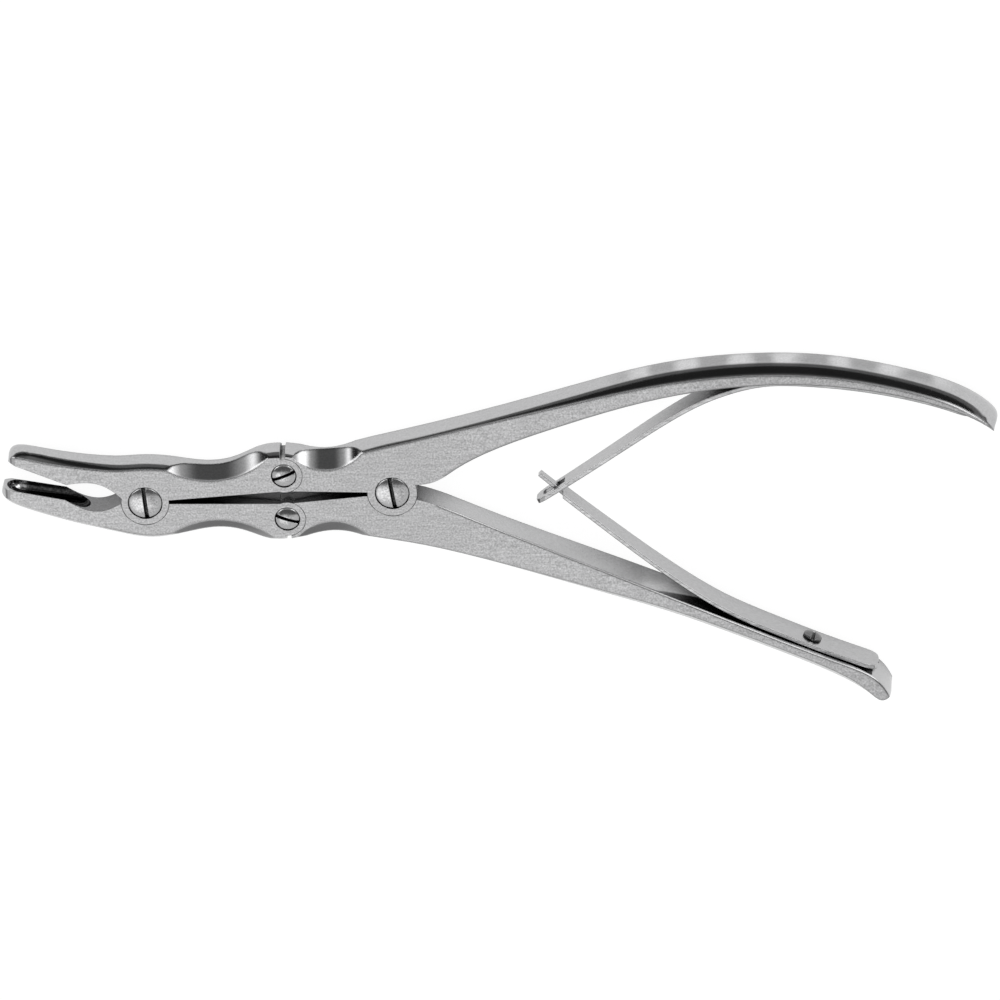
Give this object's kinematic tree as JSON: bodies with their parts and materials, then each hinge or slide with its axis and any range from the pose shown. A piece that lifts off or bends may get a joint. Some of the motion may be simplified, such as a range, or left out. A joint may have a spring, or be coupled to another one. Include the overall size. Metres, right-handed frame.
{
  "type": "bone rongeur",
  "caption": "Surgical bone-biting forceps with cupped jaws, compound-action levers on slotted joint screws, and interlocking leaf springs between bowed handles.",
  "frame": {"origin": "on the axis of the main joint between the handles, at the back face of its plates", "axes": "+X from the main joint towards the handle ends, along the line of the jaw and main joints; +Y towards the bowed handle; +Z towards the slotted screw heads"},
  "size_m": [0.1856, 0.071, 0.0088],
  "materials": {
    "forged_steel": "satin stainless steel with polished rounded backs",
    "spring_steel": "satin spring steel",
    "screw_steel": "turned and polished stainless steel"
  },
  "bodies": {
    "upper_handle": {"upper_handle": "forged_steel", "upper_spring": "spring_steel", "upper_spring_screw": "screw_steel"},
    "lower_handle": {"lower_handle": "forged_steel", "lower_spring": "spring_steel", "lower_spring_screw": "screw_steel", "handle_pivot_screw": "screw_steel"},
    "upper_jaw": {"upper_jaw": "forged_steel", "upper_link_screw": "screw_steel"},
    "lower_jaw": {"lower_jaw": "forged_steel", "lower_link_screw": "screw_steel", "jaw_pivot_screw": "screw_steel"}
  },
  "joints": [
    {"name": "handle_squeeze", "type": "hinge", "parent": "upper_handle", "child": "lower_handle", "pos_m": [0, 0, 0.0031], "axis": [0, 0, 1], "range_deg": [0, 14.86], "stiffness_Nm_per_rad": 1.2, "springref_deg": -6.88, "deforming": ["upper_spring", "lower_spring"]},
    {"name": "upper_jaw_link", "type": "hinge", "parent": "upper_handle", "child": "upper_jaw", "pos_m": [-0.01985, 0.00443, 0.0031], "axis": [0, 0, 1], "range_deg": [0, 13.03]},
    {"name": "lower_jaw_link", "type": "hinge", "parent": "lower_handle", "child": "lower_jaw", "pos_m": [-0.01985, -0.00443, 0.0031], "axis": [0, 0, 1], "range_deg": [-13.03, 0]}
  ],
  "couplings": [
    {"joint": "upper_jaw_link", "follows": "handle_squeeze", "ratio": 0.87671},
    {"joint": "lower_jaw_link", "follows": "handle_squeeze", "ratio": -0.87671}
  ]
}
